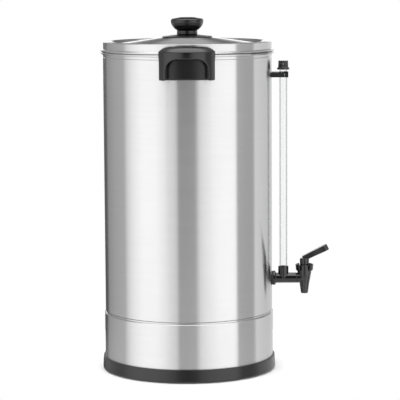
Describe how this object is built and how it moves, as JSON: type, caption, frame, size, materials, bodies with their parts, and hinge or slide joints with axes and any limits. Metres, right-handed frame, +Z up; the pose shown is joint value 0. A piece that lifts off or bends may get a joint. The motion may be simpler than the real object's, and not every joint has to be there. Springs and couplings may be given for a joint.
{
  "type": "percolator urn",
  "caption": "Steel percolator urn for hot drinks, with a lift-off lid, two side handles, a lever tap and a glass sight gauge over it.",
  "frame": {"origin": "centre of the underside, in the plane that the urn stands on", "axes": "+Z up along the urn's axis; +X towards the tap and gauge; the handles are at -Y and +Y"},
  "size_m": [0.3377, 0.304, 0.521],
  "materials": {
    "satin_steel": "fine circumferential brushing, satin",
    "bright_steel": "bright, smooth",
    "zinc_plate": "zinc plated sheet, dull",
    "cast_aluminium": "as cast",
    "element_sheath": "heat darkened",
    "black_plastic": "black, fine moulded grain, satin",
    "black_gloss": "black, smooth moulded",
    "black_rubber": "matt",
    "white_silicone": "translucent white, smooth",
    "cream_phenolic": "matt ceramic-like body",
    "brown_phenolic": "matt",
    "brown_insulation": "smooth insulation",
    "blue_insulation": "smooth insulation",
    "green_insulation": "smooth insulation",
    "amber_lens": "translucent amber",
    "clear_glass": "clear borosilicate, polished"
  },
  "bodies": {
    "urn": {"tank_wall": "satin_steel", "tank_bottom": "satin_steel", "base_skirt": "satin_steel", "base_ring": "black_plastic", "foot_ring": "black_rubber", "bottom_cover": "zinc_plate", "cover_screws": "bright_steel", "heater_plate": "cast_aluminium", "heater_element": "element_sheath", "keep_warm_element": "element_sheath", "heater_nuts": "bright_steel", "thermostat": "cream_phenolic", "thermal_cutout": "brown_phenolic", "sensor_nuts": "bright_steel", "terminal_block": "cream_phenolic", "wiring_live": "brown_insulation", "wiring_neutral": "blue_insulation", "wiring_earth": "green_insulation", "cord_gland": "black_plastic", "gland_nut": "black_plastic", "switch_housing": "black_plastic", "pilot_lamp": "bright_steel", "pilot_lens": "amber_lens", "tap_shank": "black_gloss", "tap_barrel": "black_gloss", "tap_outer_gasket": "black_rubber", "tap_inner_gasket": "white_silicone", "tap_lock_nut": "bright_steel", "tap_bonnet": "black_gloss", "valve_spring": "bright_steel", "gauge_tube": "clear_glass", "gauge_seal": "black_rubber", "gauge_bracket": "black_plastic", "gauge_clip": "black_plastic", "clip_screws": "bright_steel", "bracket_screw": "bright_steel", "handle_front": "black_plastic", "handle_rear": "black_plastic", "handle_screws": "bright_steel"},
    "lid": {"lid_shell": "satin_steel", "lid_locating_ring": "satin_steel", "lid_knob": "black_plastic", "knob_shield": "black_plastic", "knob_screw": "bright_steel", "knob_washer": "bright_steel"},
    "tap_stem": {"valve_stem": "bright_steel", "valve_cup": "white_silicone", "lever_pin": "black_plastic"},
    "lever": {"tap_lever": "black_gloss"},
    "rocker": {"switch_rocker": "black_gloss"},
    "sight_cap": {"gauge_cap": "black_gloss"},
    "brew_stack": {"riser_tube": "bright_steel", "filter_basket": "satin_steel"},
    "spreader": {"basket_cover": "satin_steel"}
  },
  "joints": [
    {"name": "lid_lift", "type": "slide", "parent": "urn", "child": "lid", "axis": [0, 0, 1], "range_m": [0, 0.12]},
    {"name": "stem_lift", "type": "slide", "parent": "urn", "child": "tap_stem", "axis": [0, 0, 1], "range_m": [0, 0.0032], "deforming": ["valve_spring"]},
    {"name": "lever_tilt", "type": "hinge", "parent": "tap_stem", "child": "lever", "pos_m": [0.1724, 0, 0.1574], "axis": [0, 1, 0], "range_deg": [0, 28], "stiffness_Nm_per_rad": 0.12, "springref_deg": -17.19},
    {"name": "rocker_tilt", "type": "hinge", "parent": "urn", "child": "rocker", "pos_m": [0.08662, 0.08662, 0.048], "axis": [0.7071, -0.7071, 0], "range_deg": [0, 18]},
    {"name": "sight_cap_lift", "type": "slide", "parent": "urn", "child": "sight_cap", "axis": [0, 0, 1], "range_m": [0, 0.03]},
    {"name": "brew_stack_lift", "type": "slide", "parent": "urn", "child": "brew_stack", "axis": [0, 0, 1], "range_m": [0, 0.015]},
    {"name": "spreader_lift", "type": "slide", "parent": "brew_stack", "child": "spreader", "axis": [0, 0, 1], "range_m": [0, 0.012]}
  ],
  "couplings": [
    {"joint": "stem_lift", "follows": "lever_tilt", "m_per_rad": 0.0065471}
  ]
}
